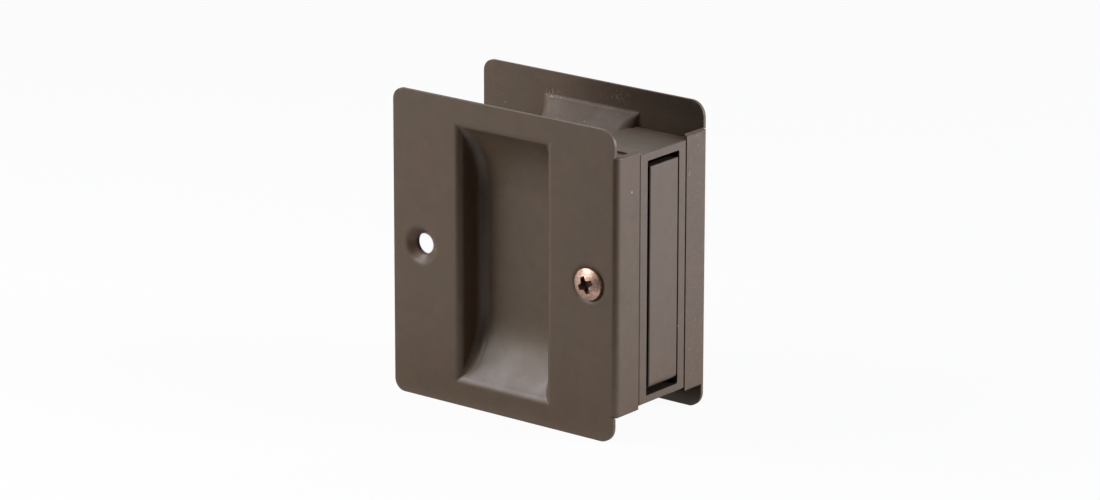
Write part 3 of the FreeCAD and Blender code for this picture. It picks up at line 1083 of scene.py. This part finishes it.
black_cloth, shader, *_ = new_finish("black_cloth")
shader.inputs["Base Color"].default_value = (cloth_tone, cloth_tone, cloth_tone, 1)
shader.inputs["Roughness"].default_value = cloth_roughness

near_count, far_count = len(card_near), len(card_far)
lying = near_count + far_count
card_corners = [(x, y, card_lift) for x, y in card_near + card_far]
card_corners += [(x, y, card_height) for x, y in card_far]
card_faces = [tuple(range(lying))]
card_faces += [(i, i + far_count, i + far_count + 1, i + 1) for i in range(near_count, lying - 1)]
card_faces.append(tuple(range(len(card_corners), len(card_corners) + len(shade_under_part))))
card_corners += [(x, y, card_lift) for x, y in shade_under_part]
stage_sheet("black_card", card_corners, card_faces, black_cloth, ("camera", "shadow"))

# %% [markdown]
# The lower parts of the front plate and of the edge are a little darker in the picture, as if they mirrored
# a table that is less bright close to the part. A darker table would show in the picture, so two grey
# cards lie beside the part, and only reflections see them.

# %% Grey cards
# painted shade: grey cards that reflections see in place of the table shaded by the part
grey_lift = 0.0003
before_front = [(-0.070, -0.052), (0.032, -0.052), (0.036, -0.0215), (-0.040, -0.0215)]
beside_edge = [(0.037, -0.020), (0.085, 0.000), (0.085, 0.090), (0.037, 0.060)]
grey_corners = [(x, y, grey_lift) for x, y in before_front + beside_edge]
grey_paper = studio_paper("grey_paper", tone=0.5, glow=0.60)
grey_faces = [(0, 1, 2, 3), (4, 5, 6, 7)]
stage_sheet("grey_card", grey_corners, grey_faces, grey_paper, ("camera", "shadow", "diffuse"))

# %% [markdown]
# The inner face of the rear plate falls into shade towards its right end. Turning a lamp down would darken
# the front as well, so two small flaps stand above the gap between the plates and take the light off that
# face alone. They act on shadows only.

# %% Shade flaps
shade_y = -0.010
flaps = [(-0.017, 0.034, 0.081, 0.130), (-0.060, -0.015, 0.135, 0.180)]
shade_corners, shade_faces = [], []
for left_x, right_x, low_z, high_z in flaps:
    shade_faces.append(tuple(range(len(shade_corners), len(shade_corners) + 4)))
    corners = (left_x, low_z), (right_x, low_z), (right_x, high_z), (left_x, high_z)
    shade_corners += [(x, shade_y, z) for x, z in corners]
stage_sheet("shade_card", shade_corners, shade_faces, black_cloth, ("camera", "glossy", "diffuse"))

# %% [markdown]
# Behind the table the picture is white to its edges. A white world that also lights the part would flatten
# it, so the world is white only for the lens and for reflections, and the soft boxes do all the lighting.
# The Standard view shows colours as they are written, without a film look.

# %% White backdrop
sky = bpy.data.worlds.new("studio")
bpy.context.scene.world = sky
sky.use_nodes = True
sky.node_tree.nodes.clear()
add = node_adder(sky.node_tree)
backdrop = add("Background", {"Color": white, "Strength": seen_directly(add)})
add("OutputWorld", {"Surface": backdrop.outputs[0]})
bpy.context.scene.view_settings.view_transform = "Standard"
print("backdrop", sky.name, "with", len(sky.node_tree.nodes), "nodes")

# %% [markdown]
# Last, the dressed part is measured against the CAD box. Soft forms and rounded edges must not change the
# size of a part that has to fit a door, and comparing two boxes shows that faster than looking does.

# %% Measure and finish
visual_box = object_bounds()
for corner_name, dressed, drawn in zip(("low", "high"), visual_box, cad_box):
    print(corner_name, "corner moved by", [round(x / mm, 3) for x in dressed - drawn], "mm")
